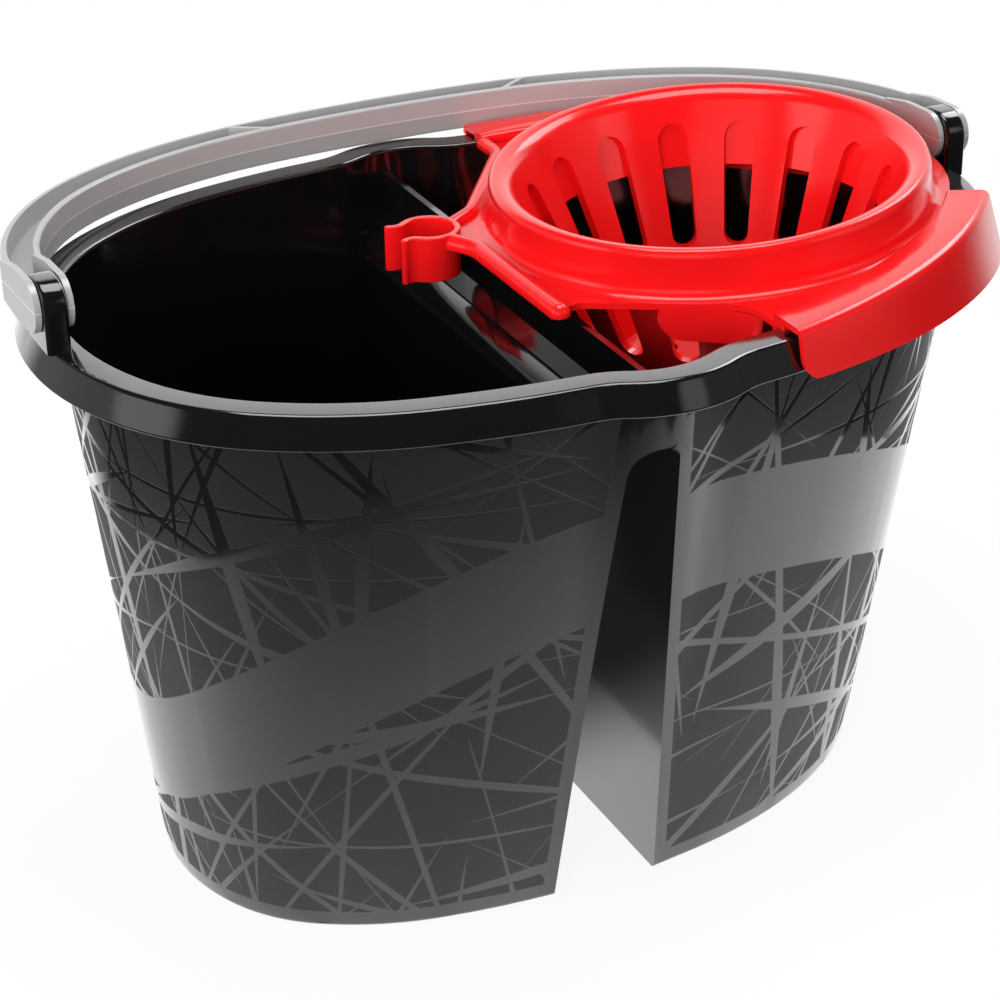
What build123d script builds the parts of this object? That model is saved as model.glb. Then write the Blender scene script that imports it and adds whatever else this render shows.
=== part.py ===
import math
import os

from build123d import *

# Two-chamber mop bucket: x runs along the bucket, the wringer end is +x, the front is -y.
# The origin lies on the floor, under the middle of the large chamber.
# Places along x are given from midway between the two ears; origin_x is the origin's place there.
origin_x = -90.0

# Rim outline, at its inner edge
rim_height = 228.0
rim_half_length = 175.4
rim_half_width = 111.0
rim_left_power = 2.41
rim_right_power = 2.0
rim_bump = 7.0
bump_centre = -3.0
bump_half_length = 31.0
shoulder_turn = 42.0

# Rim section
rim_flat = 10.7
rim_thickness = 2.6
skirt_reach = 16.3
skirt_depth = 11.0
skirt_thickness = 2.2
rim_inner_round = 1.4
rim_outer_round = 2.2
skirt_foot_round = 0.8

# Tub walls and base outline
wall = 2.4
floor_thickness = 3.0
base_left_length = 152.9
base_right_length = 141.9
base_half_width = 87.9
base_left_power = 2.5
base_right_power = 1.9
base_bump = 1.0
base_round = 2.5

# Slot that parts the two tubs from below
slot_left_base = -33.4
slot_right_base = 9.0
slot_left_top = -16.6
slot_right_top = 1.5
slot_drop = 32.0
arch_left_round = 11.0
arch_right_round = 5.0

# Divider plate between the chambers
crest_x = -5.0
crest_drop = 9.0
divider_thickness = 2.6
divider_draft = 2.0
divider_foot = 5.0

# Ears on the rim's two ends
ear_step = 7.8
ear_thickness = 8.6
ear_width = 23.0
ear_height = 23.5
ear_top_round = 9.5
ear_edge_round = 1.4
pivot_height = 13.6
pivot_radius = 4.0
pivot_clearance = 0.05

# Carrying handle, a bail of H section
bail_clear = 22.5
bail_leg = 16.0
bail_power = 2.4
bail_turns = (30.0, 60.0)
bail_width = 14.0
bail_height = 14.6
bail_flange = 2.3
bail_web = 2.4
bail_web_drop = 1.5
bail_edge_round = 1.0
bail_seat_gap = 0.3
web_start = 20.0
tab_radius = 9.6
tab_gap = 0.4
tab_blend = 30.0
grip_half_length = 64.0
rib_thickness = 2.0
rib_lean = 55.0

# Wringer basket: a slotted cone hung from a round collar, tilted towards the large chamber
collar_x = 77.4
collar_rise = 20.0
collar_radius = 80.6
collar_round = 3.4
collar_slope = 4.0
collar_draft = 3.0
collar_foot_round = 4.0
wringer_wall = 2.4
collar_depth = 17.5
basket_depth = 86.0
basket_foot_radius = 43.0
basket_slots = 16
basket_slot_turn = 5.0
basket_slot_drop = 12.0
basket_slot_length = 46.0
basket_slot_top = 12.8
basket_slot_foot = 10.0
drain_radius = 4.0
drain_circle = 22.0
drain_count = 6

# Flange of the wringer, and the rounded rails along its edges
flange_thickness = 2.4
flange_overlap = 1.0
flange_waist_x = -3.3
flange_waist_half = 50.5
front_wing_x = 45.0
front_wing_half = 86.5
rear_waist_x = -1.0
rear_waist_half = 45.5
rear_wing_x = 34.0
rear_wing_half = 93.0
wing_round = 15.0
rail_x = -13.0
rail_end = 57.0
rail_bend = 13.0
rail_round = 18.0
rail_radius = 4.0
rail_drop = 18.0
rear_rail_radius = 3.0
rear_rail_drop = 17.3
seat_half = 40.0
seat_bar = 4.0

# Panel under the flange's front edge
panel_start = 20.0
panel_depth = 13.0
panel_thickness = 2.0
panel_round = 7.0

# Hooked lips of the wringer over the front and rear rim
front_lip_start = 44.0
rear_lip_start = 33.0
lip_end_turn = 34.0
rear_lip_end_x = 118.0
rear_lip_low = 2.5
rear_lip_inset = 1.2
lip_drop = 13.5
lip_low = 13.0
lip_low_reach = 19.6
lip_high = 14.0
lip_high_reach = 12.0
lip_wall = 2.2
lip_seat_reach = 4.2
lip_inner_reach = -3.4
lip_corner_round = 7.0
lip_outer_round = 3.5
lip_inner_round = 2.0
lip_rim_gap = 0.5

# Locating skirt of the wringer inside the chamber
guide_depth = 15.0
guide_reach = -2.8
guide_thickness = 2.0
guide_setback = 5.0
guide_near = 44.0

# Clip for a mop stick
clip_x = -23.5
clip_y = 35.0
clip_bore = 9.6
clip_wall = 2.7
clip_height = 18.0
clip_drop = 13.5
clip_mouth = 11.0
clip_flare = 5.0
clip_tip_turn = 35.0
clip_edge_round = 0.8
clip_front_root = -65.0
clip_rear_root = 20.0

# Middle of each ear, the bail's reach, height of the slot's arch, middle of the clip's wall
ear_middle = rim_half_length + ear_step
bail_half_width = rim_half_width + bail_clear
slot_height = rim_height - slot_drop
clip_middle = clip_bore + clip_wall / 2

reach = 400.0
flat_tolerance = 0.01


def node_at_turn(length, width, power, turn):
    """Point of a rounded outline at a turn from its end, with the direction of travel there."""
    c, s = math.cos(math.radians(turn)), math.sin(math.radians(turn))
    return node_of(length, width, power, length * c ** (2 / power), width * s ** (2 / power))


def node_of(length, width, power, x, y):
    """Point of a rounded outline and its direction of travel, counter-clockwise."""
    run = -((y / width) ** (power - 1)) / width
    rise = (x / length) ** (power - 1) / length
    size = math.hypot(run, rise)
    return (x, y), (run / size, rise / size)


def foot_node(length, width, power, x):
    """Point of a rounded outline at a distance x along it, where the bump begins."""
    return node_of(length, width, power, x, width * (1 - (x / length) ** power) ** (1 / power))


def mirrored(nodes):
    """The same nodes on the other side of the y axis, in the order of travel."""
    return [((-point[0], point[1]), (way[0], -way[1])) for point, way in reversed(nodes)]


def tangent_arc(point, way, target):
    """Arc from a point along its direction of travel to a target: centre, radius, angles and sense."""
    side = (-way[1], way[0])
    gap = (target[0] - point[0], target[1] - point[1])
    offset = (gap[0] ** 2 + gap[1] ** 2) / (2 * (gap[0] * side[0] + gap[1] * side[1]))
    centre = (point[0] + offset * side[0], point[1] + offset * side[1])
    start = math.degrees(math.atan2(point[1] - centre[1], point[0] - centre[0]))
    stop = math.degrees(math.atan2(target[1] - centre[1], target[0] - centre[0]))
    sense = 1 if offset > 0 else -1
    turn = (stop - start + 180) % 360 - 180
    return centre, abs(offset), start, start + turn, sense


def biarcs(nodes):
    """Two tangent arcs from each node to the next."""
    arcs = []
    for (p, a), (q, b) in zip(nodes, nodes[1:]):
        gap = (q[0] - p[0], q[1] - p[1])
        along = gap[0] * (a[0] + b[0]) + gap[1] * (a[1] + b[1])
        bend = 2 * (1 - a[0] * b[0] - a[1] * b[1])
        square = gap[0] ** 2 + gap[1] ** 2
        length = (math.sqrt(along**2 + bend * square) - along) / bend
        middle = (
            (p[0] + q[0] + length * (a[0] - b[0])) / 2,
            (p[1] + q[1] + length * (a[1] - b[1])) / 2,
        )
        arcs.append(tangent_arc(p, a, middle))
        back = tangent_arc(q, (-b[0], -b[1]), middle)
        arcs.append((back[0], back[1], back[3], back[2], -back[4]))
    return arcs


def outline_arcs(left_length, right_length, half_width, left_power, right_power, bump):
    """The closed outline as arcs, counter-clockwise from the middle of its right end."""
    right = [
        ((right_length, 0.0), (0.0, 1.0)),
        node_at_turn(right_length, half_width, right_power, shoulder_turn),
        foot_node(right_length, half_width, right_power, bump_half_length + bump_centre),
    ]
    left = [
        ((left_length, 0.0), (0.0, 1.0)),
        node_at_turn(left_length, half_width, left_power, shoulder_turn),
        foot_node(left_length, half_width, left_power, bump_half_length - bump_centre),
    ]
    peak = ((bump_centre, half_width + bump), (-1.0, 0.0))
    upper = biarcs(right + [peak] + mirrored(left))
    lower = []
    for centre, radius, start, stop, sense in reversed(upper):
        lower.append(((centre[0], -centre[1]), radius, -stop, -start, sense))
    return upper + lower


def arc_edge(arc, grow, z):
    """One arc of an outline, moved outward by grow and lifted to z."""
    centre, radius, start, stop, sense = arc
    size = radius + sense * grow
    points = []
    for angle in (start, (start + stop) / 2, stop):
        turn = math.radians(angle)
        points.append((centre[0] + size * math.cos(turn), centre[1] + size * math.sin(turn), z))
    return ThreePointArc(*points)


def outline_face(arcs, grow, z):
    """The flat face inside an outline, moved outward by grow and lifted to z."""
    return Face(Wire([arc_edge(arc, grow, z) for arc in arcs]))


def drum(arcs, grow, low, high):
    """Upright prism over an outline, moved outward by grow."""
    return extrude(outline_face(arcs, grow, low), amount=high - low, dir=(0, 0, 1))


def rounded_face(points, rounds):
    """Flat face from its corners, with chosen corners rounded."""
    face = make_face(Polyline(*points, close=True))
    for index, radius in rounds:
        corner = face.vertices().sort_by_distance(points[index])[0]
        face = fillet(corner, radius)
    return face


def side_prism(points, rounds=()):
    """Prism along y from corners in the x-z plane, with chosen corners rounded."""
    return extrude(rounded_face([(x, 0, z) for x, z in points], rounds), amount=reach, both=True)


rim_arcs = outline_arcs(
    rim_half_length, rim_half_length, rim_half_width, rim_left_power, rim_right_power, rim_bump
)
base_arcs = outline_arcs(
    base_left_length, base_right_length, base_half_width, base_left_power, base_right_power, base_bump
)


def crest_z(x):
    """Height of the collar's crest plane over a place on the x axis."""
    return rim_height + collar_rise + (x - collar_x) * math.tan(math.radians(collar_slope))


def sloped_slab(x_low, x_high, low_drop, high_drop):
    """Slab between two planes parallel to the crest plane, given as drops below it."""
    return side_prism(
        [
            (x_low, crest_z(x_low) - low_drop),
            (x_high, crest_z(x_high) - low_drop),
            (x_high, crest_z(x_high) - high_drop),
            (x_low, crest_z(x_low) - high_drop),
        ]
    )


def slot_profile(grow):
    """Corners of the slot's section, moved outward by grow, with its arch roundings."""
    left_slope = (slot_left_top - slot_left_base) / slot_height
    right_slope = (slot_right_base - slot_right_top) / slot_height
    top = slot_height + grow
    left_top = slot_left_base - grow + left_slope * top
    right_top = slot_right_base + grow - right_slope * top
    low = -floor_thickness
    left_low = slot_left_base - grow + left_slope * low
    right_low = slot_right_base + grow - right_slope * low
    corners = [(left_low, low), (right_low, low), (right_top, top), (left_top, top)]
    rounds = [(2, arch_right_round + grow), (3, arch_left_round + grow)]
    return corners, rounds


def make_bucket():
    tub_top = rim_height - rim_thickness
    outer = loft([outline_face(base_arcs, 0, 0), outline_face(rim_arcs, wall, tub_top)], ruled=True)
    outer = fillet(outer.edges().group_by(Axis.Z)[0], base_round)
    inner = loft(
        [outline_face(base_arcs, -wall, floor_thickness), outline_face(rim_arcs, 0, tub_top)], ruled=True
    )
    slot = side_prism(*slot_profile(0))
    slot_wall = side_prism(*slot_profile(wall))
    slope = math.tan(math.radians(divider_draft))
    crest = rim_height - crest_drop
    roof = slot_height + wall
    flare = roof + divider_foot
    half = divider_thickness / 2
    flare_half = half + slope * (crest - flare)
    divider = side_prism(
        [
            (crest_x - half, crest),
            (crest_x + half, crest),
            (crest_x + flare_half, flare),
            (crest_x + flare_half + divider_foot, roof),
            (crest_x + flare_half + divider_foot, roof - wall),
            (crest_x - flare_half - divider_foot, roof - wall),
            (crest_x - flare_half - divider_foot, roof),
            (crest_x - flare_half, flare),
        ]
    )
    tub = outer - slot - (inner - slot_wall - divider)
    section = [
        (0, -rim_thickness),
        (0, 0),
        (rim_flat, 0),
        (skirt_reach, -skirt_depth),
        (skirt_reach - skirt_thickness, -skirt_depth),
        (rim_flat - skirt_thickness, -rim_thickness),
    ]
    corners = [(rim_half_length + x, 0, rim_height + z) for x, z in section]
    face = rounded_face(corners, [(1, rim_inner_round), (2, rim_outer_round), (3, skirt_foot_round)])
    path = Wire([arc_edge(arc, 0, rim_height) for arc in rim_arcs])
    rim = sweep(face, path=path)
    bucket = tub + rim
    for sign in (-1, 1):
        bucket += make_ear(sign)
    return bucket


def make_ear(sign):
    """Upright ear on one end of the rim, with the hole for the handle's stud."""
    low = rim_height - rim_thickness / 2
    high = rim_height + ear_height
    half = ear_width / 2
    side = Plane.YZ.offset(sign * ear_middle - ear_thickness / 2)
    face = make_face(Polyline((-half, low), (half, low), (half, high), (-half, high), close=True))
    face = fillet(face.vertices().group_by(Axis.Y)[-1], ear_top_round)
    ear = extrude(side * face, amount=ear_thickness)
    rounded = [edge for edge in ear.edges() if edge.center().Z > low + rim_thickness]
    rounded = [edge for edge in rounded if abs(edge.tangent_at(0.5).X) < 0.5]
    ear = fillet(rounded, ear_edge_round)
    hole = Cylinder(pivot_radius + pivot_clearance, 3 * ear_thickness, rotation=(0, 90, 0))
    return ear - Pos(sign * ear_middle, 0, rim_height + pivot_height) * hole


def tilted(shape):
    """A shape about the collar's axis, with the crest at height 0, set in its place."""
    return Pos(collar_x, 0, rim_height + collar_rise) * Rot(0, -collar_slope, 0) * shape


def plan_point(x, y, drop):
    """Place in the collar's own frame of a point over x and y, a drop below the crest plane."""
    slope = math.radians(collar_slope)
    return ((x - collar_x - drop * math.sin(slope)) / math.cos(slope), y, -drop)


def make_basket():
    """Collar and slotted cone about the z axis, with the crest at height 0."""
    crest_out = collar_radius + collar_round
    crest_in = collar_radius - collar_round
    low = collar_depth + flange_thickness
    low_out = crest_out + (low - collar_round) * math.tan(math.radians(collar_draft))
    foot_rise = collar_depth - collar_foot_round
    foot_mid = collar_foot_round * (1 - math.sqrt(0.5))
    foot_out = basket_foot_radius
    profile = [
        Line((low_out + collar_foot_round, -low), (low_out + collar_foot_round, -collar_depth)),
        ThreePointArc(
            (low_out + collar_foot_round, -collar_depth),
            (low_out + foot_mid, -collar_depth + foot_mid),
            (low_out, -foot_rise),
        ),
        Line((low_out, -foot_rise), (crest_out, -collar_round)),
        ThreePointArc((crest_out, -collar_round), (collar_radius, 0), (crest_in, -collar_round)),
        Line((crest_in, -collar_round), (foot_out - wringer_wall, -basket_depth + wringer_wall)),
        Line((foot_out - wringer_wall, -basket_depth + wringer_wall), (0, -basket_depth + wringer_wall)),
        Line((0, -basket_depth + wringer_wall), (0, -basket_depth)),
        Line((0, -basket_depth), (foot_out, -basket_depth)),
        Line((foot_out, -basket_depth), (crest_in + wringer_wall, -collar_round - wringer_wall)),
        Line(
            (crest_in + wringer_wall, -collar_round - wringer_wall),
            (crest_out - wringer_wall, -collar_round - wringer_wall),
        ),
        Line((crest_out - wringer_wall, -collar_round - wringer_wall), (low_out - wringer_wall, -low)),
        Line((low_out - wringer_wall, -low), (low_out + collar_foot_round, -low)),
    ]
    between_slots = basket_slot_turn + 180 / basket_slots
    basket = Rot(0, 0, between_slots) * revolve(Plane.XZ * make_face(profile), axis=Axis.Z)
    half_top = basket_slot_top / 2
    half_foot = basket_slot_foot / 2
    slot_top = -basket_slot_drop - half_top
    slot_end = -basket_slot_drop - basket_slot_length
    slot_low = slot_end + half_foot
    slot_face = make_face(
        [
            ThreePointArc((-half_foot, slot_low), (0, slot_end), (half_foot, slot_low)),
            Line((half_foot, slot_low), (half_top, slot_top)),
            ThreePointArc((half_top, slot_top), (0, -basket_slot_drop), (-half_top, slot_top)),
            Line((-half_top, slot_top), (-half_foot, slot_low)),
        ]
    )
    cutter = extrude(Plane.YZ.offset(foot_out - 4 * wringer_wall) * slot_face, amount=crest_in)
    band = revolve(
        Plane.XZ
        * make_face(
            Polyline(
                (crest_in + wringer_wall, -collar_round),
                (foot_out + wringer_wall, -basket_depth),
                (foot_out - 4 * wringer_wall, -basket_depth),
                (crest_in - 4 * wringer_wall, -collar_round),
                close=True,
            )
        ),
        axis=Axis.Z,
    )
    cutter = cutter & band
    for index in range(basket_slots):
        basket -= Rot(0, 0, basket_slot_turn + index * 360 / basket_slots) * cutter
    for index in range(drain_count):
        drain = Pos(drain_circle, 0, -basket_depth) * Cylinder(drain_radius, 4 * wringer_wall)
        basket -= Rot(0, 0, index * 360 / drain_count) * drain
    return tilted(basket)


def collar_core():
    """Space inside the collar, along the basket's own axis."""
    return Pos(collar_x, 0, rim_height) * Rot(0, -collar_slope, 0) * Cylinder(collar_radius, reach)


def clip_root(turn, drop):
    """Point in the middle of the clip's wall, at a turn about the clip, where a rail runs in."""
    turn = math.radians(turn)
    return plan_point(clip_x + clip_middle * math.cos(turn), clip_y + clip_middle * math.sin(turn), drop)


def flange_face():
    """Plan of the flange: a neck to the clip, a waist along the divider and wings onto the rim."""
    far = rim_half_width + skirt_reach
    places = [
        (rail_x, rail_bend),
        (rail_x, -flange_waist_half),
        (flange_waist_x, -flange_waist_half),
        (front_wing_x, -front_wing_half),
        (front_wing_x, -far),
        (reach, -far),
        (reach, far),
        (rear_wing_x, far),
        (rear_wing_x, rear_wing_half),
        (rear_waist_x, rear_waist_half),
    ]
    corners = [plan_point(x, y, collar_depth) for x, y in places]
    corners.append(clip_root(clip_rear_root, collar_depth))
    corners.append(clip_root(clip_front_root, collar_depth))
    return rounded_face(corners, [(3, wing_round), (8, wing_round)])


def make_rails():
    """Half-round rails along the flange's edge over the divider and along its rear edge."""
    front = [
        plan_point(rail_x, rail_radius - rail_end, rail_drop),
        plan_point(rail_x, rail_bend, rail_drop),
        clip_root(clip_front_root, rail_drop),
    ]
    rear = [
        clip_root(clip_rear_root, rear_rail_drop),
        plan_point(rear_waist_x, rear_waist_half, rear_rail_drop),
        plan_point(rear_wing_x, rear_wing_half, rear_rail_drop),
        plan_point(rear_wing_x, rim_half_width, rear_rail_drop),
    ]
    rods = []
    for points, radius, rounds in (
        (front, rail_radius, [rail_round]),
        (rear, rear_rail_radius, [wing_round, wing_round]),
    ):
        path = FilletPolyline(*points, radius=rounds)
        section = Plane(origin=path @ 0, z_dir=path % 0) * Circle(radius)
        rods.append(sweep(section, path=path))
    rods.append(Pos(*front[0]) * Sphere(rail_radius))
    floor = collar_depth + flange_thickness / 2
    upper = Pos(0, 0, reach / 2 - floor) * Box(3 * reach, 3 * reach, reach)
    return [rod & upper for rod in rods]


def make_wringer():
    low = rim_height - 2 * collar_depth
    high = rim_height + 2 * collar_depth
    inside = drum(rim_arcs, lip_inner_reach + flange_overlap, low, high)
    plate = extrude(flange_face(), amount=flange_thickness, dir=(0, 0, -1))
    clip_core = Pos(clip_x, clip_y, rim_height) * Cylinder(clip_middle, reach)
    wringer = (tilted(plate) & inside) - clip_core
    for rail in make_rails():
        wringer += (tilted(rail) & inside) - clip_core
    wringer = wringer - collar_core() + make_basket()
    front_end = rim_half_length + lip_low_reach
    wringer += make_lip(-1, front_lip_start, front_end, lip_low, 0)
    wringer += make_lip(1, rear_lip_start, rear_lip_end_x, rear_lip_low, rear_lip_inset)
    wringer += make_guide(-1, front_lip_start)
    wringer += make_guide(1, rear_lip_start)
    wringer += make_panel()
    wringer += make_seat()
    wringer += make_clip()
    return wringer


def lip_side(sign):
    """Half of space that holds one lip, cut off along a radius of the collar."""
    half = Pos(0, sign * reach / 2, 0) * Box(3 * reach, reach, reach)
    return Pos(collar_x, 0, rim_height) * Rot(0, 0, sign * lip_end_turn) * half


def lip_window(start, end_x, depth):
    """Space that one lip fills: under its sloping top, from its start to its end."""
    low = rim_height - depth
    return side_prism(
        [
            (start, low),
            (end_x, low),
            (end_x, crest_z(end_x) - lip_drop),
            (start, crest_z(start) - lip_drop),
        ],
        [(0, min(lip_corner_round, depth))],
    )


def make_lip(sign, start, end_x, depth, inset):
    """Hooked lip over one side of the rim, with its seat on the rim's top."""
    low = rim_height - lip_low
    high = rim_height + lip_high
    shells = []
    for shrink in (inset, inset + lip_wall):
        low_face = outline_face(rim_arcs, lip_low_reach - shrink, low)
        high_face = outline_face(rim_arcs, lip_high_reach - shrink, high)
        shells.append(loft([low_face, high_face], ruled=True))
    outer, hollow = shells
    lip = outer - drum(rim_arcs, lip_inner_reach, low, high)
    under = hollow - drum(rim_arcs, lip_seat_reach, low, high)
    lip -= under & sloped_slab(-reach, reach, lip_drop + reach, lip_drop + lip_wall)
    lip -= drum(rim_arcs, rim_flat, low, rim_height)
    lip &= lip_window(start, end_x, depth)
    step = drum(rim_arcs, -lip_rim_gap, low, high) - drum(rim_arcs, lip_inner_reach, low, high)
    step &= sloped_slab(start, end_x, collar_depth + flange_thickness, lip_drop)
    lip = (lip + step) & lip_side(sign)
    lip = fillet(lip_top_edges(lip, True), lip_outer_round)
    return fillet(lip_top_edges(lip, False), lip_inner_round)


def lip_top_edges(lip, outward):
    """Long edges of a lip's sloping top, on its outer or its inner side."""
    low = rim_height - 2 * collar_depth
    high = rim_height + 2 * collar_depth
    middle = drum(rim_arcs, (lip_inner_reach + lip_high_reach) / 2, low, high)
    edges = []
    for edge in lip.edges():
        place = edge.center()
        on_top = abs(crest_z(place.X) - lip_drop - place.Z) < flat_tolerance
        curved = edge.geom_type != GeomType.LINE
        if on_top and curved and middle.is_inside(place) != outward:
            edges.append(edge)
    return edges


def make_guide(sign, lip_start):
    """Skirt under the flange that drops into the small chamber along one of its walls."""
    low = rim_height - guide_depth
    high = rim_height + collar_depth
    start = lip_start + guide_setback
    ring = drum(rim_arcs, guide_reach, low, high) - drum(rim_arcs, guide_reach - guide_thickness, low, high)
    ring &= Pos(start + reach / 2, sign * (guide_near + reach / 2), rim_height) * Box(reach, reach, reach)
    return ring & sloped_slab(0, reach, reach, collar_depth + flange_thickness / 2)


def make_panel():
    """Panel that hangs from the flange's front edge into the small chamber."""
    face = flange_face()
    floor = flange_thickness + panel_depth
    strip = extrude(face, amount=floor, dir=(0, 0, -1))
    strip -= extrude(offset(face, amount=-panel_thickness), amount=floor, dir=(0, 0, -1))
    high = crest_z(panel_start) - collar_depth - flange_thickness / 2
    low = high - panel_depth
    window = side_prism(
        [(panel_start, low), (front_wing_x, low), (front_wing_x, high), (panel_start, high)],
        [(0, panel_round)],
    )
    window &= Pos(0, -reach / 2, rim_height) * Box(reach, reach, reach)
    return tilted(strip) & window & drum(rim_arcs, guide_reach - guide_thickness / 2, low, high)


def make_seat():
    """Bar under the flange that stands on the divider's crest."""
    low = rim_height - crest_drop
    high = crest_z(crest_x) - collar_depth - flange_thickness / 2
    start = crest_x - divider_thickness / 2
    stop = crest_x + divider_thickness / 2 + seat_bar
    bar = Pos((start + stop) / 2, 0, (low + high) / 2) * Box(stop - start, 2 * seat_half, high - low)
    return bar - collar_core()


def make_clip():
    """Open ring for a mop stick, with arms that flare outward at its mouth."""
    gap = clip_mouth / 2 + clip_wall / 2
    flare_y = gap + clip_flare
    flare_x = -math.sqrt((clip_middle + clip_flare) ** 2 - flare_y**2)
    meet = math.degrees(math.atan2(flare_y, -flare_x))
    arcs = [
        ((flare_x, -flare_y), clip_flare, 90 + clip_tip_turn, meet, -1),
        ((0.0, 0.0), clip_middle, meet - 180, 180 - meet, 1),
        ((flare_x, flare_y), clip_flare, -meet, -90 - clip_tip_turn, -1),
    ]
    half = clip_wall / 2
    outer = [arc_edge(arc, half, 0) for arc in arcs]
    inner = [arc_edge(arc, -half, 0) for arc in arcs]
    turn = math.radians(90 + clip_tip_turn)
    caps = []
    for sign, end in ((-1, 0), (1, -1)):
        tip_x = flare_x + clip_flare * math.cos(turn) - half * math.sin(turn)
        tip_y = sign * (flare_y - clip_flare * math.sin(turn) - half * math.cos(turn))
        caps.append(ThreePointArc(outer[end] @ -end, (tip_x, tip_y, 0), inner[end] @ -end))
    clip = extrude(Face(Wire(outer + inner + caps)), amount=clip_height, dir=(0, 0, -1))
    flat_ends = clip.faces().filter_by(Axis.Z)
    clip = fillet(flat_ends.edges(), clip_edge_round)
    return Pos(clip_x, clip_y, crest_z(clip_x) - clip_drop) * clip


def make_handle():
    """Bail lying back on the rim, with studs that turn in the ears."""
    pivot_z = rim_height + pivot_height
    right = [((ear_middle, bail_leg), (0.0, 1.0))]
    for turn in bail_turns:
        right.append(node_at_turn(ear_middle, bail_half_width, bail_power, turn))
    peak = ((0.0, bail_half_width), (-1.0, 0.0))
    arcs = biarcs(right + [peak] + mirrored(right))
    foot_right = Line((ear_middle, 0, 0), (ear_middle, bail_leg, 0))
    foot_left = Line((-ear_middle, bail_leg, 0), (-ear_middle, 0, 0))
    path = Wire([foot_right] + [arc_edge(arc, 0, 0) for arc in arcs] + [foot_left])
    half_w = bail_width / 2
    half_h = bail_height / 2
    solid = make_face(
        Polyline(
            (ear_middle - half_w, 0, -half_h),
            (ear_middle + half_w, 0, -half_h),
            (ear_middle + half_w, 0, half_h),
            (ear_middle - half_w, 0, half_h),
            close=True,
        )
    )
    solid = fillet(solid.vertices(), bail_edge_round)
    pocket_half = half_w - bail_flange
    pockets = []
    web_low = -bail_web / 2 - bail_web_drop
    web_high = bail_web / 2 - bail_web_drop
    for z_low, z_high in ((-bail_height, web_low), (web_high, bail_height)):
        face = make_face(
            Polyline(
                (ear_middle - pocket_half, 0, z_low),
                (ear_middle + pocket_half, 0, z_low),
                (ear_middle + pocket_half, 0, z_high),
                (ear_middle - pocket_half, 0, z_high),
                close=True,
            )
        )
        pockets.append(sweep(face, path=path))
    whole = sweep(solid, path=path)
    bail = whole
    for pocket in pockets:
        bail -= pocket
    for sign in (-1, 1):
        rib = Rot(0, 0, -sign * rib_lean) * Box(rib_thickness, 4 * bail_width, bail_height)
        bail += whole & Pos(sign * grip_half_length, bail_half_width, 0) * rib
        bail = add_tab(bail, sign)
    return Pos(0, 0, pivot_z) * Rot(-rest_slope(), 0, 0) * bail


def rest_slope():
    """Angle by which the bail hangs below level where it lies on the rear bump."""
    bump_edge = rim_half_width + rim_bump + rim_flat
    drop = bail_height / 2 + bail_seat_gap
    span = math.hypot(bump_edge, pivot_height)
    return math.degrees(math.atan2(pivot_height, bump_edge) - math.asin(drop / span))


def add_tab(bail, sign):
    """Fork at one end of the bail: two rounded tabs and a stud through the ear."""
    middle = sign * ear_middle
    gap = ear_thickness / 2 + tab_gap
    opening = Box(2 * gap, 2 * web_start, 4 * tab_radius)
    bail -= Pos(middle, 0, 0) * opening
    half_h = bail_height / 2
    outline = [
        (0, -tab_radius),
        (tab_blend / 2, -tab_radius),
        (tab_blend, -half_h),
        (tab_blend, half_h),
        (tab_blend / 2, tab_radius),
        (0, tab_radius),
    ]
    for side in (-1, 1):
        start = middle + side * gap
        stop = middle + side * (gap + bail_flange)
        plane = Plane.YZ.offset(min(start, stop))
        tab = extrude(plane * make_face(Polyline(*outline, close=True)), amount=bail_flange)
        disc = Pos((start + stop) / 2, 0, 0) * Cylinder(tab_radius, bail_flange, rotation=(0, 90, 0))
        bail += tab + disc
    stud = Cylinder(pivot_radius, 2 * gap, rotation=(0, 90, 0))
    return bail + Pos(middle, 0, 0) * stud


os.makedirs("parts", exist_ok=True)
pieces = {"bucket": make_bucket(), "wringer": make_wringer(), "handle": make_handle()}
for name, shape in pieces.items():
    export_step(Pos(-origin_x, 0, 0) * shape, f"parts/{name}.step")
    print(name, round(shape.volume), len(shape.solids()), shape.is_valid)
print("handle rest slope", round(rest_slope(), 2))
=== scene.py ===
import math

import bpy
from mathutils import Matrix, Vector


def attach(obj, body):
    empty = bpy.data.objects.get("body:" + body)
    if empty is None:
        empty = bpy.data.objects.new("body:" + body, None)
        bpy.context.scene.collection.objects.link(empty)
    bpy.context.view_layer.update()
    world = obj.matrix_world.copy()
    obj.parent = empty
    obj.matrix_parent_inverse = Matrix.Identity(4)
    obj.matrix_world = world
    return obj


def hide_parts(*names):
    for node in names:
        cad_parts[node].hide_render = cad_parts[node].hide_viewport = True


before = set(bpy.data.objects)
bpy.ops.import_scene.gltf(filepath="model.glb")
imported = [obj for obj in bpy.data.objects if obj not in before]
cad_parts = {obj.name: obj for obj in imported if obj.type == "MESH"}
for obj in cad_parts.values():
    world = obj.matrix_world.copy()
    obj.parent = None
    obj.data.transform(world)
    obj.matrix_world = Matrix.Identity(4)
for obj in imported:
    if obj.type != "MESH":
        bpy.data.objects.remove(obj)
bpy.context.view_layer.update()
scene = bpy.context.scene
print("frame loaded:", sorted(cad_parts))


def onlySelect(piece):
    bpy.ops.object.select_all(action="DESELECT")
    piece.select_set(True)
    bpy.context.view_layer.objects.active = piece


# shader helpers
def newMaterial(name):
    material = bpy.data.materials.new(name)
    material.use_nodes = True
    material.node_tree.nodes.clear()
    return material, material.node_tree


def addNode(tree, kind, **values):
    node = tree.nodes.new(kind)
    for key, value in values.items():
        setattr(node, key, value)
    return node


def mathNode(tree, operation, first, second=None):
    node = addNode(tree, "ShaderNodeMath", operation=operation)
    for index, value in enumerate((first, second)):
        if value is None:
            continue
        if isinstance(value, (int, float)):
            node.inputs[index].default_value = value
        else:
            tree.links.new(value, node.inputs[index])
    return node.outputs[0]


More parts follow.
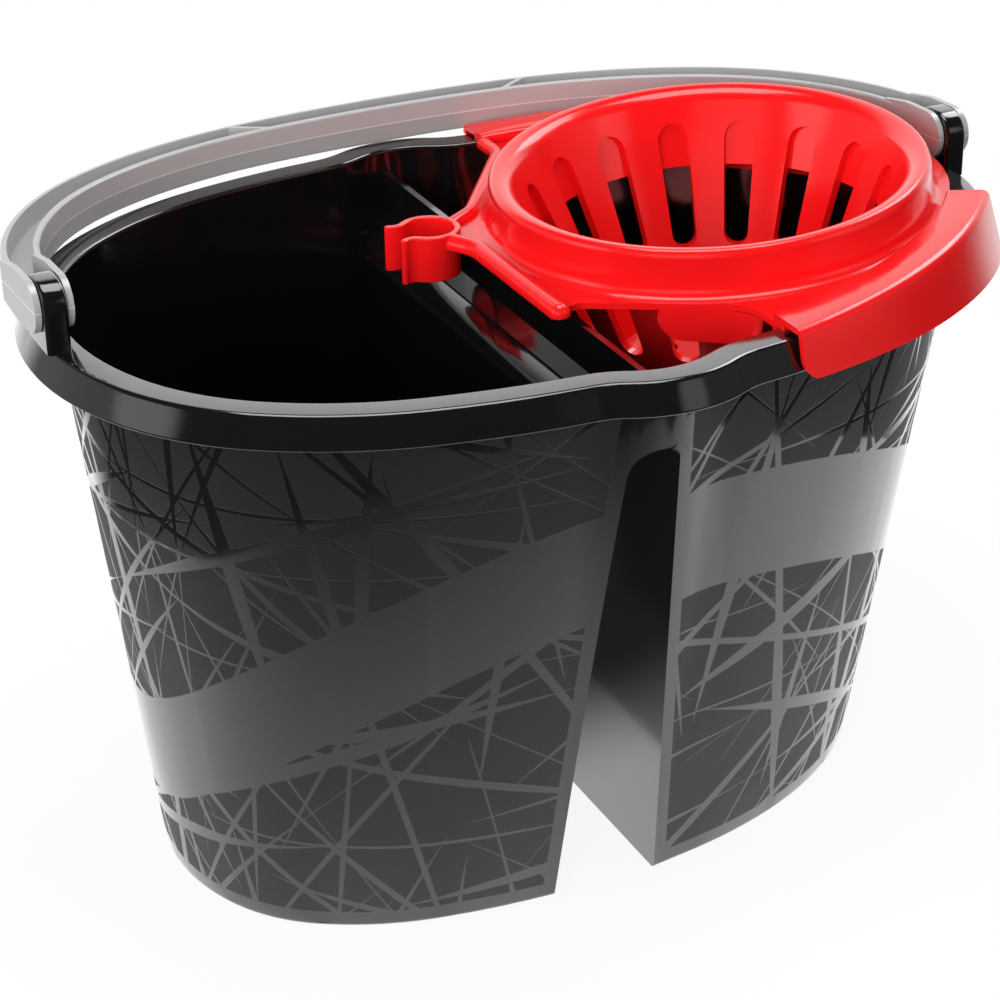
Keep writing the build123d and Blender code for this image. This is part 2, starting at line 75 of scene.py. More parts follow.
def mapRange(tree, value, low, high, newLow, newHigh, smooth=True):
    kind = "SMOOTHSTEP" if smooth else "LINEAR"
    node = addNode(tree, "ShaderNodeMapRange", interpolation_type=kind)
    tree.links.new(value, node.inputs["Value"])
    node.inputs["From Min"].default_value = low
    node.inputs["From Max"].default_value = high
    node.inputs["To Min"].default_value = newLow
    node.inputs["To Max"].default_value = newHigh
    return node.outputs["Result"]


def mixColour(tree, factor, first, second):
    node = addNode(tree, "ShaderNodeMix", data_type="RGBA")
    tree.links.new(factor, node.inputs["Factor"])
    node.inputs[6].default_value = (*first, 1)
    node.inputs[7].default_value = (*second, 1)
    return node.outputs[2]


# moulded plastic: slow clouding and a fine grain, which is also the height for the bump
mouldSettings = dict(
    cloudDetail=3.0, grainDetail=2.0, cloudShare=0.65, grainShare=0.35, cloudLow=0.3, cloudHigh=0.7,
)
mouldedPlastic = bpy.data.node_groups.new("mouldedPlastic", "ShaderNodeTree")
mouldedPlastic.interface.new_socket("Vector", in_out="INPUT", socket_type="NodeSocketVector")
for socketName in ("Cloud Scale", "Grain Scale"):
    mouldedPlastic.interface.new_socket(socketName, in_out="INPUT", socket_type="NodeSocketFloat")
for socketName in ("Cloud", "Grain"):
    mouldedPlastic.interface.new_socket(socketName, in_out="OUTPUT", socket_type="NodeSocketFloat")
groupIn = mouldedPlastic.nodes.new("NodeGroupInput")
groupOut = mouldedPlastic.nodes.new("NodeGroupOutput")
cloudNoise = addNode(mouldedPlastic, "ShaderNodeTexNoise", noise_dimensions="3D")
cloudNoise.inputs["Detail"].default_value = mouldSettings["cloudDetail"]
grainNoise = addNode(mouldedPlastic, "ShaderNodeTexNoise", noise_dimensions="3D")
grainNoise.inputs["Detail"].default_value = mouldSettings["grainDetail"]
for noise, socket in ((cloudNoise, "Cloud Scale"), (grainNoise, "Grain Scale")):
    mouldedPlastic.links.new(groupIn.outputs["Vector"], noise.inputs["Vector"])
    mouldedPlastic.links.new(groupIn.outputs[socket], noise.inputs["Scale"])
mouldedPlastic.links.new(cloudNoise.outputs["Fac"], groupOut.inputs["Cloud"])
mouldedPlastic.links.new(grainNoise.outputs["Fac"], groupOut.inputs["Grain"])


def addMoulded(tree, coords, cloudScale, grainScale):
    node = addNode(tree, "ShaderNodeGroup", node_tree=mouldedPlastic)
    tree.links.new(coords, node.inputs["Vector"])
    node.inputs["Cloud Scale"].default_value = cloudScale
    node.inputs["Grain Scale"].default_value = grainScale
    return node.outputs["Cloud"], node.outputs["Grain"]


def cloudRoughness(tree, cloud, limits):
    return mapRange(tree, cloud, mouldSettings["cloudLow"], mouldSettings["cloudHigh"], *limits)


def finishShader(tree, colour, roughness, height, settings, coat):
    shader = addNode(tree, "ShaderNodeBsdfPrincipled")
    shader.inputs["Coat Roughness"].default_value = settings["coatRoughness"]
    shader.inputs["Specular IOR Level"].default_value = settings["shine"]
    shader.inputs["Metallic"].default_value = settings["metallic"]
    if isinstance(coat, float):
        shader.inputs["Coat Weight"].default_value = coat
    else:
        tree.links.new(coat, shader.inputs["Coat Weight"])
    bump = addNode(tree, "ShaderNodeBump")
    bump.inputs["Strength"].default_value = settings["bumpStrength"]
    bump.inputs["Distance"].default_value = settings["bumpDistance"]
    tree.links.new(colour, shader.inputs["Base Color"])
    tree.links.new(roughness, shader.inputs["Roughness"])
    tree.links.new(height, bump.inputs["Height"])
    tree.links.new(bump.outputs["Normal"], shader.inputs["Normal"])
    output = addNode(tree, "ShaderNodeOutputMaterial")
    tree.links.new(shader.outputs["BSDF"], output.inputs["Surface"])


plainPlastics = {
    "bucketGloss": dict(
        colours=((0.0030, 0.0030, 0.0032), (0.0050, 0.0050, 0.0053)), roughness=(0.07, 0.11),
        cloudScale=18, grainScale=900, bumpDistance=0.0001, bumpStrength=0.03,
        shine=0.75, metallic=0.0, coat=1.0, coatRoughness=0.12,
    ),
    "wringerRed": dict(
        colours=((0.80, 0.006, 0.008), (0.88, 0.010, 0.011)), roughness=(0.17, 0.25),
        cloudScale=22, grainScale=1100, bumpDistance=0.0001, bumpStrength=0.05,
        shine=0.5, metallic=0.0, coat=0.4, coatRoughness=0.06,
    ),
    "handleSilver": dict(
        colours=((0.46, 0.456, 0.458), (0.51, 0.506, 0.508)), roughness=(0.32, 0.40),
        cloudScale=12, grainScale=2600, bumpDistance=0.0001, bumpStrength=0.08,
        shine=0.5, metallic=0.25, coat=0.0, coatRoughness=0.1,
    ),
}

# fine line where the two halves of the mould met, on the plane z + slope * y = height; the seam is real,
# its lighter colour is a painted highlight
mouldSeamGlints = {
    "handleSilver": dict(height=0.2416, slope=0.0466, half=0.00016, colour=(0.75, 0.745, 0.745)),
}


# lays a painted highlight along the mould seam: a lighter line mixed over the base colour
def addMouldSeamGlint(tree, coords, colour, settings):
    split = addNode(tree, "ShaderNodeSeparateXYZ")
    tree.links.new(coords, split.inputs[0])
    level = mathNode(tree, "MULTIPLY_ADD", split.outputs["Y"], settings["slope"])
    tree.links.new(split.outputs["Z"], level.node.inputs[2])
    away = mathNode(tree, "ABSOLUTE", mathNode(tree, "SUBTRACT", level, settings["height"]))
    line = mapRange(tree, away, settings["half"], settings["half"] * 2, 1.0, 0.0)
    node = addNode(tree, "ShaderNodeMix", data_type="RGBA")
    tree.links.new(line, node.inputs["Factor"])
    tree.links.new(colour, node.inputs[6])
    node.inputs[7].default_value = (*settings["colour"], 1)
    return node.outputs[2]


def plainPlastic(name):
    settings = plainPlastics[name]
    material, tree = newMaterial(name)
    coords = addNode(tree, "ShaderNodeTexCoord").outputs["Object"]
    cloud, grain = addMoulded(tree, coords, settings["cloudScale"], settings["grainScale"])
    blend = mathNode(tree, "MULTIPLY_ADD", grain, mouldSettings["grainShare"])
    tree.links.new(mathNode(tree, "MULTIPLY", cloud, mouldSettings["cloudShare"]), blend.node.inputs[2])
    colour = mixColour(tree, blend, *settings["colours"])
    # the handle's mould seam, drawn lighter as a painted highlight
    if name in mouldSeamGlints:
        colour = addMouldSeamGlint(tree, coords, colour, mouldSeamGlints[name])
    roughness = cloudRoughness(tree, cloud, settings["roughness"])
    finishShader(tree, colour, roughness, grain, settings, settings["coat"])
    return material


# one layer of straight polished lines at uneven steps, each line swelling and thinning along its run
lineLayer = bpy.data.node_groups.new("lineLayer", "ShaderNodeTree")
lineLayer.interface.new_socket("Vector", in_out="INPUT", socket_type="NodeSocketVector")
for socketName in ("Turn", "Spacing", "Width", "Seed"):
    lineLayer.interface.new_socket(socketName, in_out="INPUT", socket_type="NodeSocketFloat")
lineLayer.interface.new_socket("Line", in_out="OUTPUT", socket_type="NodeSocketFloat")
lineSettings = dict(
    driftScale=3.0, drift=0.012, swellAcross=30.0, swellAlong=9.0,
    faint=0.44, full=0.74, least=0.02, soft=0.00025, seedStart=1.3, seedStep=3.7,
)


def buildLineLayer():
    tree = lineLayer
    s = lineSettings
    given = tree.nodes.new("NodeGroupInput").outputs
    turned = addNode(tree, "ShaderNodeVectorRotate", rotation_type="Z_AXIS")
    tree.links.new(given["Vector"], turned.inputs["Vector"])
    tree.links.new(given["Turn"], turned.inputs["Angle"])
    split = addNode(tree, "ShaderNodeSeparateXYZ")
    tree.links.new(turned.outputs[0], split.inputs[0])
    drift = addNode(tree, "ShaderNodeTexNoise", noise_dimensions="3D")
    drift.inputs["Scale"].default_value = s["driftScale"]
    drift.inputs["Detail"].default_value = 0.0
    shifted = addNode(tree, "ShaderNodeCombineXYZ")
    tree.links.new(split.outputs["X"], shifted.inputs["X"])
    tree.links.new(split.outputs["Y"], shifted.inputs["Y"])
    tree.links.new(given["Seed"], shifted.inputs["Z"])
    tree.links.new(shifted.outputs[0], drift.inputs["Vector"])
    across = mathNode(tree, "MULTIPLY_ADD", drift.outputs["Fac"], s["drift"])
    tree.links.new(split.outputs["X"], across.node.inputs[2])
    step = mathNode(tree, "ADD", mathNode(tree, "DIVIDE", across, given["Spacing"]), given["Seed"])
    cells = addNode(tree, "ShaderNodeTexVoronoi", feature="DISTANCE_TO_EDGE", voronoi_dimensions="1D")
    cells.inputs["Scale"].default_value = 1.0
    cells.inputs["Randomness"].default_value = 1.0
    tree.links.new(step, cells.inputs["W"])
    away = mathNode(tree, "MULTIPLY", cells.outputs["Distance"], given["Spacing"])
    swellPlace = addNode(tree, "ShaderNodeCombineXYZ")
    tree.links.new(mathNode(tree, "MULTIPLY", across, s["swellAcross"]), swellPlace.inputs["X"])
    tree.links.new(mathNode(tree, "MULTIPLY", split.outputs["Y"], s["swellAlong"]), swellPlace.inputs["Y"])
    tree.links.new(given["Seed"], swellPlace.inputs["Z"])
    swell = addNode(tree, "ShaderNodeTexNoise", noise_dimensions="3D")
    swell.inputs["Scale"].default_value = 1.0
    swell.inputs["Detail"].default_value = 0.0
    tree.links.new(swellPlace.outputs[0], swell.inputs["Vector"])
    share = mapRange(tree, swell.outputs["Fac"], s["faint"], s["full"], 0.0, 1.0, smooth=False)
    inside = mathNode(tree, "SUBTRACT", mathNode(tree, "MULTIPLY", share, given["Width"]), away)
    line = mapRange(tree, inside, -s["soft"], s["soft"], 0.0, 1.0)
    result = tree.nodes.new("NodeGroupOutput")
    present = mathNode(tree, "GREATER_THAN", share, s["least"])
    tree.links.new(mathNode(tree, "MULTIPLY", line, present), result.inputs["Line"])


buildLineLayer()

# body of the tubs: matte grain crossed by polished lines and one polished band
tubFinish = dict(
    halfLength=0.160, halfWidth=0.100, wrapRadius=0.130, seamX=0.078,
    lineTurns=(8, 27, 49, 68, 93, 112, 131, 152, 171, 38, 82, 141),  # degrees
    lineWidths=(0.0026, 0.0013, 0.0018, 0.0030, 0.0010),
    lineSpacing=0.034, spacingStep=0.0035, spacingKinds=4,
    bandMiddle=0.101, bandHalf=0.0225,
    bandWaves=((1, 0.022, 0.018), (2, 0.026, 0.0)),  # waves round the tub, cosine share, sine share
    edge=0.0006, foot=0.007,
    slotMiddle=0.0778, slotLean=0.02366, slotHalf=0.0212, slotTaper=-0.06207, slotMargin=0.005,
    matte=(0.0085, 0.0080, 0.0080), polished=(0.0045, 0.0045, 0.0047),
    matteRoughness=0.42, gloss=(0.07, 0.11), cloudScale=30, grainScale=1500,
    shine=0.75, metallic=0.0, coatRoughness=0.04, bumpDistance=0.00015, bumpStrength=0.5,
)


# turn round the tub and the place on its unrolled wall
def unrollTub(tree, x, y, height):
    s = tubFinish
    across = mathNode(tree, "DIVIDE", mathNode(tree, "SUBTRACT", x, s["seamX"]), s["halfLength"])
    depth = mathNode(tree, "DIVIDE", y, -s["halfWidth"])
    turn = mathNode(tree, "ARCTAN2", across, depth)
    wrap = addNode(tree, "ShaderNodeCombineXYZ")
    tree.links.new(mathNode(tree, "MULTIPLY", turn, s["wrapRadius"]), wrap.inputs["X"])
    tree.links.new(height, wrap.inputs["Y"])
    return turn, wrap.outputs[0]


def crossingLines(tree, wrap):
    s = tubFinish
    lines = None
    for index, angle in enumerate(s["lineTurns"]):
        layer = addNode(tree, "ShaderNodeGroup", node_tree=lineLayer)
        tree.links.new(wrap, layer.inputs["Vector"])
        spacing = s["lineSpacing"] + s["spacingStep"] * (index % s["spacingKinds"])
        layer.inputs["Turn"].default_value = math.radians(angle)
        layer.inputs["Spacing"].default_value = spacing
        layer.inputs["Width"].default_value = s["lineWidths"][index % len(s["lineWidths"])]
        layer.inputs["Seed"].default_value = lineSettings["seedStep"] * index + lineSettings["seedStart"]
        line = layer.outputs["Line"]
        lines = line if lines is None else mathNode(tree, "MAXIMUM", lines, line)
    return lines


def waveBand(tree, turn, height):
    s = tubFinish
    middle = s["bandMiddle"]
    for count, cosShare, sinShare in s["bandWaves"]:
        angle = mathNode(tree, "MULTIPLY", turn, float(count))
        for operation, share in (("COSINE", cosShare), ("SINE", sinShare)):
            wave = mathNode(tree, "MULTIPLY", mathNode(tree, operation, angle), share)
            middle = mathNode(tree, "ADD", wave, middle)
    offBand = mathNode(tree, "ABSOLUTE", mathNode(tree, "SUBTRACT", height, middle))
    return mapRange(tree, offBand, s["bandHalf"], s["bandHalf"] + s["edge"], 1.0, 0.0)


def slotBorder(tree, x, height):
    s = tubFinish
    slotMiddle = mathNode(tree, "MULTIPLY_ADD", height, s["slotLean"])
    slotMiddle.node.inputs[2].default_value = s["slotMiddle"]
    slotEdge = mathNode(tree, "MULTIPLY_ADD", height, s["slotTaper"])
    slotEdge.node.inputs[2].default_value = s["slotHalf"] + s["slotMargin"]
    offSlot = mathNode(tree, "ABSOLUTE", mathNode(tree, "SUBTRACT", x, slotMiddle))
    return mapRange(tree, mathNode(tree, "SUBTRACT", offSlot, slotEdge), 0.0, s["edge"], 1.0, 0.0)


def tubBody():
    s = tubFinish
    material, tree = newMaterial("tubBody")
    coords = addNode(tree, "ShaderNodeTexCoord").outputs["Object"]
    split = addNode(tree, "ShaderNodeSeparateXYZ")
    tree.links.new(coords, split.inputs[0])
    x = split.outputs["X"]
    height = split.outputs["Z"]
    turn, wrap = unrollTub(tree, x, split.outputs["Y"], height)
    polished = crossingLines(tree, wrap)
    foot = mapRange(tree, height, s["foot"], s["foot"] + s["edge"], 1.0, 0.0)
    for mask in (waveBand(tree, turn, height), foot, slotBorder(tree, x, height)):
        polished = mathNode(tree, "MAXIMUM", polished, mask)
    cloud, grain = addMoulded(tree, coords, s["cloudScale"], s["grainScale"])
    matte = mathNode(tree, "SUBTRACT", 1.0, polished)
    colour = mixColour(tree, polished, s["matte"], s["polished"])
    roughness = mathNode(tree, "MULTIPLY_ADD", matte, s["matteRoughness"])
    tree.links.new(cloudRoughness(tree, cloud, s["gloss"]), roughness.node.inputs[2])
    bumps = mathNode(tree, "MULTIPLY", grain, matte)
    finishShader(tree, colour, roughness, bumps, s, polished)
    return material


bucketGloss = plainPlastic("bucketGloss")
wringerRed = plainPlastic("wringerRed")
handleSilver = plainPlastic("handleSilver")
tubBodyFinish = tubBody()
print("materials made")


# smooth copies of the moulded pieces
pieceSettings = {
    "bucket": dict(name="twoChamberBucket", finish=bucketGloss, slot="bucket_black", smoothAngle=28),
    "wringer": dict(name="wringerBasket", finish=wringerRed, slot="wringer_red", smoothAngle=28),
    "handle": dict(name="bailHandle", finish=handleSilver, slot="handle_grey", smoothAngle=28),
}


# the solids' own normals ride along on the corners while the loose triangles are merged
mergeSettings = dict(
    distance=0.000005,
    normalJoin=14,  # degrees, below which neighbouring faces run on smoothly
)


def keepNormals(mesh):
    kept = mesh.attributes.new("solidNormal", "FLOAT_VECTOR", "CORNER")
    kept.data.foreach_set("vector", [share for corner in mesh.corner_normals for share in corner.vector])


def giveBackNormals(mesh):
    kept = mesh.attributes["solidNormal"]
    normals = [corner.vector.normalized() for corner in kept.data]
    mesh.attributes.remove(kept)
    around = {}
    for loop in mesh.loops:
        around.setdefault(loop.vertex_index, []).append(loop.index)
    alike = math.cos(math.radians(mergeSettings["normalJoin"]))
    joined = list(normals)
    for corners in around.values():
        for index in corners:
            own = normals[index]
            near = [normals[other] for other in corners if normals[other].dot(own) > alike]
            joined[index] = sum(near, Vector()).normalized()
    mesh.normals_split_custom_set(joined)


def weighNormals(piece):
    piece.data.attributes.remove(piece.data.attributes["solidNormal"])
    weigh = piece.modifiers.new("weighNormals", "WEIGHTED_NORMAL")
    weigh.mode = "FACE_AREA_WITH_ANGLE"
    weigh.keep_sharp = True
    bpy.ops.object.modifier_apply(modifier=weigh.name)


# the bail's walls lean in from the mould line, as the two halves of a mould leave them
handleDraft = dict(height=0.2416, slope=0.0466, bulge=0.00045, startY=0.034, fullY=0.060)


def draftHandle(piece):
    s = handleDraft
    mesh = piece.data
    onlySelect(piece)
    bpy.ops.object.mode_set(mode="EDIT")
    bpy.ops.mesh.select_all(action="SELECT")
    bpy.ops.mesh.bisect(plane_co=(0, 0, s["height"]), plane_no=(0, s["slope"], 1))
    bpy.ops.object.mode_set(mode="OBJECT")
    cut = {vertex.index for vertex in mesh.vertices if vertex.select}
    moves = {}
    for index in cut:
        vertex = mesh.vertices[index]
        share = min(max((vertex.co.y - s["startY"]) / (s["fullY"] - s["startY"]), 0.0), 1.0)
        moves[index] = vertex.normal * Vector((1, 1, 0)) * (s["bulge"] * share)
    for index, move in moves.items():
        mesh.vertices[index].co += move
    for edge in mesh.edges:
        if edge.vertices[0] in cut and edge.vertices[1] in cut:
            edge.use_edge_sharp = True
    print("drafted", piece.name, len(cut), "points on the mould line")


# the basket's wall runs over into the collar's crest in one broad round
collarRound = dict(
    middle=(0.1674, 0.0, 0.248), tilt=4.0, ringRadius=0.0806, ringRound=0.0034, inside=0.0801,
    near=0.00004, below=-0.00001, crestRadius=0.0814, innerRound=0.008, endTurn=65.5,
    coneFoot=-0.0836, coneTop=-0.00468, coneShift=0.0025,
)


# new radius, height and normal of a point on the crest, off and rise being its place in the small round
def crestPoint(off, rise, outward):
    s = collarRound
    ring = s["ringRound"]
    angle = math.atan2(abs(off), rise)
    if off <= 0:
        turn = angle * math.radians(s["endTurn"]) / (math.pi / 2)
        radius = s["crestRadius"] - s["innerRound"] * math.sin(turn)
        height = s["innerRound"] * (math.cos(turn) - 1)
        return radius, height, outward * -math.sin(turn) + Vector((0, 0, math.cos(turn)))
    outerHalf = s["ringRadius"] + ring - s["crestRadius"]
    normal = outward * (math.sin(angle) / outerHalf) + Vector((0, 0, math.cos(angle) / ring))
    return s["crestRadius"] + outerHalf * math.sin(angle), rise - ring, normal


def roundCollar(piece):
    s = collarRound
    mesh = piece.data
    fromCollar = Matrix.Translation(s["middle"]) @ Matrix.Rotation(math.radians(-s["tilt"]), 4, "Y")
    toCollar = fromCollar.inverted()
    ring = s["ringRound"]
    newNormals = {}
    for vertex in mesh.vertices:
        place = toCollar @ vertex.co
        radius = math.hypot(place.x, place.y)
        off = radius - s["ringRadius"]
        rise = place.z + ring
        outward = Vector((place.x, place.y, 0)).normalized()
        if abs(math.hypot(off, rise) - ring) < s["near"] and rise > s["below"]:
            radius, height, normal = crestPoint(off, rise, outward)
            newNormals[vertex.index] = (fromCollar.to_3x3() @ normal).normalized()
        elif radius < s["inside"] and rise < 0:
            share = min(max((place.z - s["coneFoot"]) / (s["coneTop"] - s["coneFoot"]), 0.0), 1.0)
            radius -= s["coneShift"] * share
            height = place.z
        else:
            continue
        vertex.co = fromCollar @ (outward * radius + Vector((0, 0, height)))
    kept = mesh.attributes["solidNormal"].data
    for loop in mesh.loops:
        if loop.vertex_index in newNormals:
            kept[loop.index].vector = newNormals[loop.vertex_index]
    print("rounded", piece.name, len(newNormals), "points on the collar's crest")


def smoothCopy(node):
    settings = pieceSettings[node]
    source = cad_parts[node]
    piece = bpy.data.objects.new(settings["name"], source.data.copy())
    scene.collection.objects.link(piece)
    onlySelect(piece)
    keepNormals(piece.data)
    bpy.ops.mesh.customdata_custom_splitnormals_clear()
    bpy.ops.object.mode_set(mode="EDIT")
    bpy.ops.mesh.select_all(action="SELECT")
    bpy.ops.mesh.remove_doubles(threshold=mergeSettings["distance"])
    bpy.ops.mesh.select_all(action="DESELECT")
    bpy.ops.object.mode_set(mode="OBJECT")
    piece.data.materials.clear()
    piece.data.materials.append(settings["finish"])
    for face in piece.data.polygons:
        face.material_index = 0
    bpy.ops.object.shade_smooth_by_angle(angle=math.radians(settings["smoothAngle"]))
    if node == "handle":
        draftHandle(piece)
        weighNormals(piece)
    else:
        if node == "wringer":
            roundCollar(piece)
        giveBackNormals(piece.data)
    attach(piece, node)
    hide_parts(node)
    print("smoothed", piece.name, len(piece.data.polygons), "faces")
    return piece


pieces = {node: smoothCopy(node) for node in pieceSettings}


# outer walls of the tubs take the patterned finish
wallSettings = dict(
    low=0.0025, high=0.2175, middle=0.09, height=0.2254,
    left=dict(base=0.1529, rim=0.1778, power=2.45),
    right=dict(base=0.1419, rim=0.1778, power=1.95),
    baseWidth=0.0879, rimWidth=0.1134, steep=0.5, nearWall=0.978, facing=0.8,
)


def markOuterWalls(piece):
    s = wallSettings
    piece.data.materials.append(tubBodyFinish)
    count = 0
    for face in piece.data.polygons:
        x, y, z = face.center
        x -= s["middle"]
        if not s["low"] < z < s["high"] or abs(face.normal.z) > s["steep"]:
            continue
        share = z / s["height"]
        end = s["left"] if x < 0 else s["right"]
        length = end["base"] * (1 - share) + end["rim"] * share
        width = s["baseWidth"] * (1 - share) + s["rimWidth"] * share
        power = end["power"]
        ratio = (abs(x / length) ** power + abs(y / width) ** power) ** (1 / power)
        outward = Vector((x / length**2, y / width**2, 0)).normalized()
        if ratio > s["nearWall"] and face.normal.dot(outward) > s["facing"]:
            face.material_index = 1
            count += 1
    print("outer wall faces", count)


markOuterWalls(pieces["bucket"])


# camera fitted to the photograph
cameraSettings = dict(
    place=(-0.32306, -0.83632, 0.60752),
    right=(0.89605, -0.44385, -0.00965),
    up=(0.21297, 0.41067, 0.88657),
    forward=(0.38954, 0.79646, -0.46250),
    lens=97.2, sensor=36, clipStart=0.01, shift=(-0.0186, 0.00105),
)


def makeCamera():
    s = cameraSettings
    camera = bpy.data.objects.new("camera", bpy.data.cameras.new("camera"))
    scene.collection.objects.link(camera)
    turned = Matrix((Vector(s["right"]), Vector(s["up"]), -Vector(s["forward"]))).transposed()
    camera.matrix_world = Matrix.Translation(s["place"]) @ turned.to_4x4()
    camera.data.sensor_width = s["sensor"]
    camera.data.lens = s["lens"]
    camera.data.shift_x, camera.data.shift_y = s["shift"]
    camera.data.clip_start = s["clipStart"]
    scene.camera = camera


makeCamera()


# studio: a round white table top, soft boxes beside and above it, a white wall behind, a dark room in front
studio = dict(
    middle=(0.09, 0.0), tableRadius=0.36, tableCorners=160, tableColour=(0.93, 0.93, 0.93),
    shadowNear=0.20, shadowFar=0.33, tableGlow=0.91,
    shineFront=-0.37, shineBack=-0.10, tableShine=(0.03, 0.95),
    slotShade=dict(x=0.080, inside=0.045, outside=0.060, front=-0.03, back=0.05, depth=0.88),
    lamps=(  # name, place, width, height, watts, seen in reflections
        ("topBox", (0.12, 0.05, 1.45), 0.9, 0.7, 8, True),
        ("backBox", (1.07, 0.34, 1.14), 0.6, 0.6, 6, True),
        ("leftBox", (-1.125, 0.128, 0.645), 0.5, 0.9, 7, False),
        ("rightBox", (0.94, -0.88, 0.645), 0.5, 0.9, 4, False),
        ("frontFill", (-0.80, -0.88, 0.60), 1.0, 0.7, 16, False),
    ),
    lampTarget=(0.09, 0.0, 0.2),
    wallWay=(0.44, 0.898, 0.0), wallFrom=0.45, wallFull=0.75, wallTop=0.55, wallEnd=0.80,
    wallGlow=0.6, wallShine=1.2, room=0.03,
    patches=(  # azimuth from +Y, elevation, half width of the bright middle and with the soft edge, glow
        (-84, 18, 8, 18, 0.95),
        (-55, 6, 15, 35, 0.34),
        (150, 22, 6, 14, 0.55),
        (124, 15, 12, 30, 0.13),
    ),
)


# how bright the table is in the part's reflections: fading to the front, and in shade inside the slot
def tableReflection(tree, coords, fromMiddle):
    s = studio
    towards = addNode(tree, "ShaderNodeVectorMath", operation="DOT_PRODUCT")
    tree.links.new(fromMiddle, towards.inputs[0])
    towards.inputs[1].default_value = s["wallWay"]
    reach = (s["shineFront"], s["shineBack"])
    shine = mapRange(tree, towards.outputs["Value"], *reach, *s["tableShine"], smooth=False)
    shade = s["slotShade"]
    split = addNode(tree, "ShaderNodeSeparateXYZ")
    tree.links.new(coords, split.inputs[0])
    offSlot = mathNode(tree, "ABSOLUTE", mathNode(tree, "SUBTRACT", split.outputs["X"], shade["x"]))
    inSlot = mapRange(tree, offSlot, shade["inside"], shade["outside"], shade["depth"], 0.0)
    deep = mapRange(tree, split.outputs["Y"], shade["front"], shade["back"], 0.0, 1.0)
    lit = mathNode(tree, "SUBTRACT", 1.0, mathNode(tree, "MULTIPLY", inSlot, deep))
    return mathNode(tree, "MULTIPLY", shine, lit)


def makeTable():
    s = studio
    middle = (*s["middle"], 0)
    bpy.ops.object.select_all(action="DESELECT")
    bpy.ops.mesh.primitive_circle_add(
        vertices=s["tableCorners"], radius=s["tableRadius"], fill_type="NGON", location=middle,
    )
    bpy.ops.object.transform_apply(location=True)
    table = bpy.context.object
    table.name = "studioTable"
    material, tree = newMaterial("paleTable")
    coords = addNode(tree, "ShaderNodeTexCoord").outputs["Object"]
    fromMiddle = addNode(tree, "ShaderNodeVectorMath", operation="SUBTRACT")
    tree.links.new(coords, fromMiddle.inputs[0])
    fromMiddle.inputs[1].default_value = middle
    away = addNode(tree, "ShaderNodeVectorMath", operation="LENGTH")
    tree.links.new(fromMiddle.outputs[0], away.inputs[0])
    far = mapRange(tree, away.outputs["Value"], s["shadowNear"], s["shadowFar"], s["tableGlow"], 1.0)
    rays = addNode(tree, "ShaderNodeLightPath")
    straight = mathNode(tree, "MAXIMUM", rays.outputs["Is Camera Ray"], rays.outputs["Is Transmission Ray"])
    mirrored = rays.outputs["Is Glossy Ray"]
    seen = mathNode(tree, "MAXIMUM", mathNode(tree, "MULTIPLY", far, straight), mirrored)
    shine = tableReflection(tree, coords, fromMiddle.outputs[0])
    glow = mathNode(tree, "MAXIMUM", straight, mathNode(tree, "MULTIPLY", shine, mirrored))
    paint = addNode(tree, "ShaderNodeBsdfDiffuse")
    paint.inputs["Color"].default_value = (*s["tableColour"], 1)
    white = addNode(tree, "ShaderNodeEmission")
    tree.links.new(glow, white.inputs["Strength"])
    blend = addNode(tree, "ShaderNodeMixShader")
    tree.links.new(seen, blend.inputs[0])
    tree.links.new(paint.outputs[0], blend.inputs[1])
    tree.links.new(white.outputs[0], blend.inputs[2])
    output = addNode(tree, "ShaderNodeOutputMaterial")
    tree.links.new(blend.outputs[0], output.inputs["Surface"])
    table.data.materials.append(material)


def makeLamps():
    for name, place, width, height, power, reflected in studio["lamps"]:
        lamp = bpy.data.lights.new(name, "AREA")
        lamp.shape = "RECTANGLE"
        lamp.size = width
        lamp.size_y = height
        lamp.energy = power
        holder = bpy.data.objects.new(name, lamp)
        scene.collection.objects.link(holder)
        holder.visible_glossy = reflected
        way = Vector(studio["lampTarget"]) - Vector(place)
        holder.matrix_world = Matrix.Translation(place) @ way.to_track_quat("-Z", "Y").to_matrix().to_4x4()


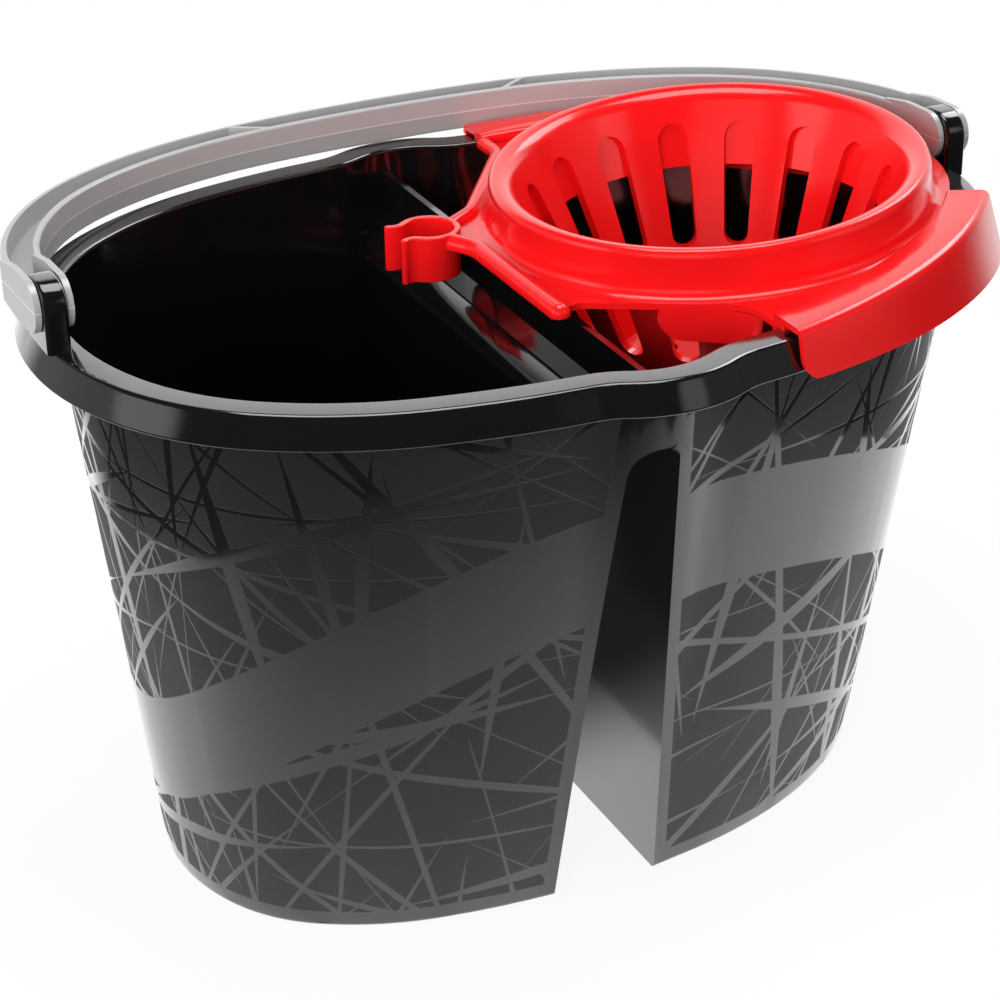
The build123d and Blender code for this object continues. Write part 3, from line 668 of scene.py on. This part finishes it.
def makeSurround():
    s = studio
    world = bpy.data.worlds.new("studioSurround")
    scene.world = world
    world.use_nodes = True
    tree = world.node_tree
    tree.nodes.clear()
    way = addNode(tree, "ShaderNodeTexCoord").outputs["Generated"]
    split = addNode(tree, "ShaderNodeSeparateXYZ")
    tree.links.new(way, split.inputs[0])
    behind = addNode(tree, "ShaderNodeVectorMath", operation="DOT_PRODUCT")
    tree.links.new(way, behind.inputs[0])
    behind.inputs[1].default_value = s["wallWay"]
    wall = mapRange(tree, behind.outputs["Value"], s["wallFrom"], s["wallFull"], 0.0, 1.0)
    below = mapRange(tree, split.outputs["Z"], s["wallTop"], s["wallEnd"], 1.0, 0.0)
    wall = mathNode(tree, "MAXIMUM", mathNode(tree, "MULTIPLY", wall, below), s["room"])
    rays = addNode(tree, "ShaderNodeLightPath")
    strength = mathNode(tree, "MAXIMUM", rays.outputs["Is Camera Ray"], rays.outputs["Is Transmission Ray"])
    shine = mathNode(tree, "MULTIPLY", wall, s["wallShine"])
    for azimuth, elevation, bright, soft, glow in s["patches"]:
        turn = math.radians(azimuth)
        rise = math.radians(elevation)
        near = addNode(tree, "ShaderNodeVectorMath", operation="DOT_PRODUCT")
        tree.links.new(way, near.inputs[0])
        level = math.cos(rise)
        near.inputs[1].default_value = (math.sin(turn) * level, math.cos(turn) * level, math.sin(rise))
        edge = math.cos(math.radians(soft))
        full = math.cos(math.radians(bright))
        patch = mapRange(tree, near.outputs["Value"], edge, full, 0.0, glow)
        shine = mathNode(tree, "MAXIMUM", shine, patch)
    glossy = mathNode(tree, "MULTIPLY", shine, rays.outputs["Is Glossy Ray"])
    softLight = mathNode(tree, "MULTIPLY", wall, s["wallGlow"])
    for part in (glossy, softLight):
        strength = mathNode(tree, "MAXIMUM", strength, part)
    background = addNode(tree, "ShaderNodeBackground")
    background.inputs["Color"].default_value = (1, 1, 1, 1)
    tree.links.new(strength, background.inputs["Strength"])
    output = addNode(tree, "ShaderNodeOutputWorld")
    tree.links.new(background.outputs[0], output.inputs["Surface"])


makeTable()
makeLamps()
makeSurround()
print("studio made")
scene.view_settings.view_transform = "Standard"
